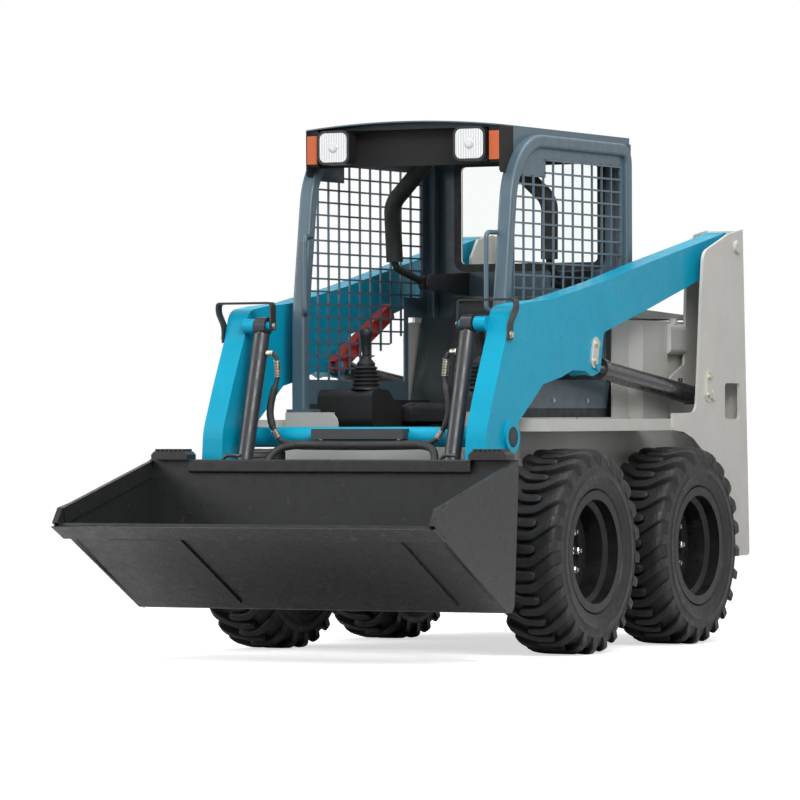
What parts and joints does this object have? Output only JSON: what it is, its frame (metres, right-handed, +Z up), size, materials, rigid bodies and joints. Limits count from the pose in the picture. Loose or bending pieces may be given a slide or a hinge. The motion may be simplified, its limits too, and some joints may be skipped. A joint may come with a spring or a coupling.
{
  "type": "skid steer loader",
  "caption": "Compact wheeled skid steer loader with an open caged cab, lift arms hinged on rear uprights, a tilting bucket on a quick coupler and lugged tyres.",
  "frame": {"origin": "on the ground under the middle of the whole machine, bucket included", "axes": "+X is the machine's own left side, -Y is the way it drives forward, +Z is up"},
  "size_m": [1.567, 3.105, 2.0169],
  "materials": {
    "arm_blue": "gloss",
    "dark_grey_paint": "satin",
    "black_paint": "satin",
    "lift_cylinder_paint": "satin",
    "tilt_cylinder_paint": "satin",
    "rod_chrome": "polished",
    "zinc_plate": "passivated",
    "bucket_black": "worn satin",
    "edge_steel": "scuffed",
    "cab_slate": "satin",
    "station_dark": "matt",
    "seal_rubber": "matt",
    "window_glass": "clear",
    "lamp_black": "matt",
    "lamp_glass": "clear",
    "marker_amber": "gloss",
    "tail_red": "gloss",
    "hose_rubber": "matt",
    "chassis_grey": "satin",
    "tower_grey": "satin",
    "body_grey": "satin",
    "wheel_black": "satin",
    "tyre_rubber": "matt",
    "tank_plastic": "matt",
    "engine_iron": "matt",
    "seat_vinyl": "satin",
    "console_plastic": "matt",
    "bar_paint": "satin",
    "prop_red": "satin"
  },
  "bodies": {
    "chassis": {"belly": "chassis_grey", "chassis_sides": "chassis_grey", "front_panel": "chassis_grey", "rear_bumper": "chassis_grey", "tower_keepers": "zinc_plate", "tail_lamps": "tail_red", "axle_housings": "dark_grey_paint", "fenders": "chassis_grey", "tower_left": "tower_grey", "tower_right": "tower_grey", "body_panels": "body_grey", "fluid_tank": "tank_plastic", "engine_block": "engine_iron", "cab_hoop_left": "cab_slate", "cab_hoop_right": "cab_slate", "cab_side_sheets": "cab_slate", "cab_tub": "station_dark", "cab_roof": "cab_slate", "cab_rear_wall": "cab_slate", "window_seal": "seal_rubber", "rear_glass": "window_glass", "side_screens": "black_paint", "headlamps": "lamp_black", "lamp_lenses": "lamp_glass", "side_markers": "marker_amber", "seat_base": "dark_grey_paint", "seat_cushion": "seat_vinyl", "seat_back": "seat_vinyl", "control_pods": "console_plastic", "joysticks": "console_plastic", "bar_brackets": "dark_grey_paint"},
    "boom": {"arm_left": "arm_blue", "arm_right": "arm_blue", "arm_keepers": "zinc_plate", "cross_tube": "arm_blue", "tube_cover": "dark_grey_paint", "guard_straps": "black_paint"},
    "lift_barrels": {"lift_barrels": "lift_cylinder_paint"},
    "lift_rods": {"lift_rods": "rod_chrome"},
    "tilt_barrels": {"tilt_barrels": "tilt_cylinder_paint", "tilt_hoses": "hose_rubber"},
    "tilt_rods": {"tilt_rods": "rod_chrome"},
    "bucket": {"bucket_shell": "bucket_black", "cutting_edge": "edge_steel", "step_pads": "black_paint", "coupler": "black_paint"},
    "arm_prop": {"arm_prop": "prop_red"},
    "hood": {"hood": "body_grey"},
    "rear_door": {"rear_door": "body_grey"},
    "seat_bar": {"seat_bar": "bar_paint"},
    "wheel_front_left": {"tyre_front_left": "tyre_rubber", "rim_front_left": "wheel_black"},
    "wheel_front_right": {"tyre_front_right": "tyre_rubber", "rim_front_right": "wheel_black"},
    "wheel_rear_left": {"tyre_rear_left": "tyre_rubber", "rim_rear_left": "wheel_black"},
    "wheel_rear_right": {"tyre_rear_right": "tyre_rubber", "rim_rear_right": "wheel_black"}
  },
  "joints": [
    {"name": "lift", "type": "hinge", "parent": "chassis", "child": "boom", "pos_m": [0, 1.3785, 1.575], "axis": [-1, 0, 0], "range_deg": [-2.8, 62]},
    {"name": "bucket_tilt", "type": "hinge", "parent": "boom", "child": "bucket", "pos_m": [0, -0.7565, 0.262], "axis": [1, 0, 0], "range_deg": [-2, 128]},
    {"name": "lift_cylinder_swing", "type": "hinge", "parent": "chassis", "child": "lift_barrels", "pos_m": [0, 1.1405, 0.977], "axis": [-1, 0, 0], "range_deg": [-2.6, 55.7]},
    {"name": "lift_cylinder_stroke", "type": "slide", "parent": "lift_barrels", "child": "lift_rods", "axis": [0, -0.9934, 0.1151], "range_m": [-0.0295, 0.649]},
    {"name": "tilt_cylinder_swing", "type": "hinge", "parent": "boom", "child": "tilt_barrels", "pos_m": [0, -0.5865, 1.238], "axis": [1, 0, 0], "range_deg": [-0.03, 1.31]},
    {"name": "tilt_cylinder_stroke", "type": "slide", "parent": "tilt_barrels", "child": "tilt_rods", "axis": [0, -0.2705, -0.9627], "range_m": [-0.0058, 0.359]},
    {"name": "prop_swing", "type": "hinge", "parent": "boom", "child": "arm_prop", "pos_m": [-0.482, 0.0855, 1.1], "axis": [-1, 0, 0], "range_deg": [0, 40]},
    {"name": "hood_lift", "type": "hinge", "parent": "chassis", "child": "hood", "pos_m": [0, 0.8325, 1.324], "axis": [1, 0, 0], "range_deg": [0, 50]},
    {"name": "door_swing", "type": "hinge", "parent": "chassis", "child": "rear_door", "pos_m": [0.445, 1.5085, 0.8], "axis": [0, 0, -1], "range_deg": [0, 100]},
    {"name": "seat_bar_swing", "type": "hinge", "parent": "chassis", "child": "seat_bar", "pos_m": [0, 0.4765, 1.425], "axis": [1, 0, 0], "range_deg": [0, 100]},
    {"name": "wheel_front_left_spin", "type": "hinge", "parent": "chassis", "child": "wheel_front_left", "pos_m": [0.628, -0.1515, 0.3865], "axis": [1, 0, 0], "continuous": true},
    {"name": "wheel_front_right_spin", "type": "hinge", "parent": "chassis", "child": "wheel_front_right", "pos_m": [-0.628, -0.1515, 0.3865], "axis": [1, 0, 0], "continuous": true},
    {"name": "wheel_rear_left_spin", "type": "hinge", "parent": "chassis", "child": "wheel_rear_left", "pos_m": [0.628, 0.7885, 0.3865], "axis": [1, 0, 0], "continuous": true},
    {"name": "wheel_rear_right_spin", "type": "hinge", "parent": "chassis", "child": "wheel_rear_right", "pos_m": [-0.628, 0.7885, 0.3865], "axis": [1, 0, 0], "continuous": true}
  ],
  "couplings": [
    {"joint": "lift_cylinder_swing", "follows": "lift", "ratio": 0.89671},
    {"joint": "lift_cylinder_stroke", "follows": "lift", "m_per_rad": 0.5986},
    {"joint": "tilt_cylinder_swing", "follows": "bucket_tilt", "ratio": 0.01008},
    {"joint": "tilt_cylinder_stroke", "follows": "bucket_tilt", "m_per_rad": 0.16012}
  ]
}
